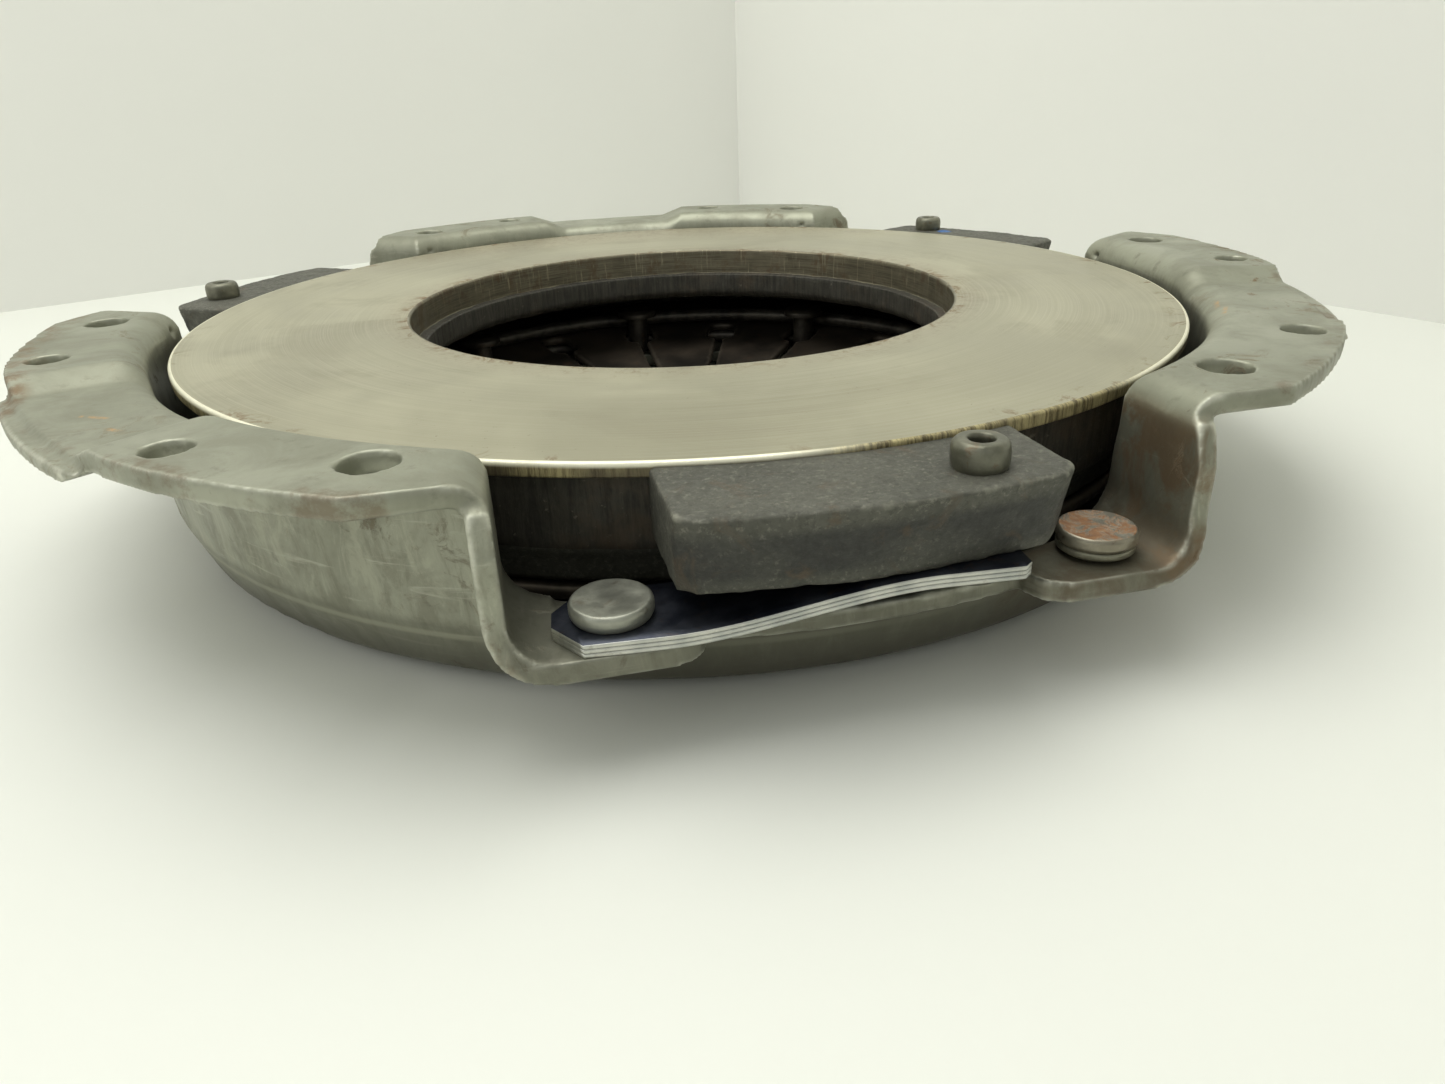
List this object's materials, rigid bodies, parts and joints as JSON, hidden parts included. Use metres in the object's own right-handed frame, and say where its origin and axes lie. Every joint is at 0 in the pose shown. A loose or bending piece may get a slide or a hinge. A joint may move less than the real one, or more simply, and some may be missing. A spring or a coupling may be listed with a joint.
{
  "type": "diaphragm spring clutch cover",
  "caption": "Truck-size diaphragm-spring clutch cover lying friction face up: pressed steel cover, cast pressure plate with lugs, drive straps, fulcrum rings and rivets.",
  "frame": {"origin": "centre of the flywheel mounting plane, level with the tops of the six flange pads", "axes": "+Z out of the cover towards the flywheel (up, as it lies on a table); -Y through the middle of one lug window; +X completes the right-handed frame"},
  "size_m": [0.433, 0.4246, 0.067],
  "materials": {
    "cover_steel": "scuffed grey pressed steel with rust spots",
    "plate_iron": "ground friction face, rough dark casting elsewhere",
    "spring_steel": "dark heat-treated",
    "ring_wire": "dark drawn wire",
    "rivet_steel": "dull",
    "tube_rivet_steel": "dull turned",
    "stop_steel": "dull with worn orange marking paint on top",
    "collar_steel": "dull turned",
    "strap_steel": "blued faces, bright sheared edges"
  },
  "bodies": {
    "cover_group": {"cover": "cover_steel", "diaphragm_spring": "spring_steel", "fulcrum_ring_cover_side": "ring_wire", "fulcrum_ring_plate_side": "ring_wire", "fulcrum_rivets": "rivet_steel", "strap_cover_rivets": "rivet_steel", "stop_rivets": "stop_steel", "stop_collars": "collar_steel", "strap_front_lower": "strap_steel", "strap_front_middle": "strap_steel", "strap_front_upper": "strap_steel", "strap_right_lower": "strap_steel", "strap_right_middle": "strap_steel", "strap_right_upper": "strap_steel", "strap_left_lower": "strap_steel", "strap_left_middle": "strap_steel", "strap_left_upper": "strap_steel"},
    "plate_group": {"pressure_plate": "plate_iron", "strap_lug_rivets": "tube_rivet_steel"}
  },
  "joints": [
    {"name": "plate_lift", "type": "slide", "parent": "cover_group", "child": "plate_group", "axis": [0, 0, 1], "range_m": [-0.0045, 0], "stiffness_N_per_m": 250000, "springref_m": 0.002, "deforming": ["diaphragm_spring", "strap_front_lower", "strap_front_middle", "strap_front_upper", "strap_right_lower", "strap_right_middle", "strap_right_upper", "strap_left_lower", "strap_left_middle", "strap_left_upper"]}
  ]
}
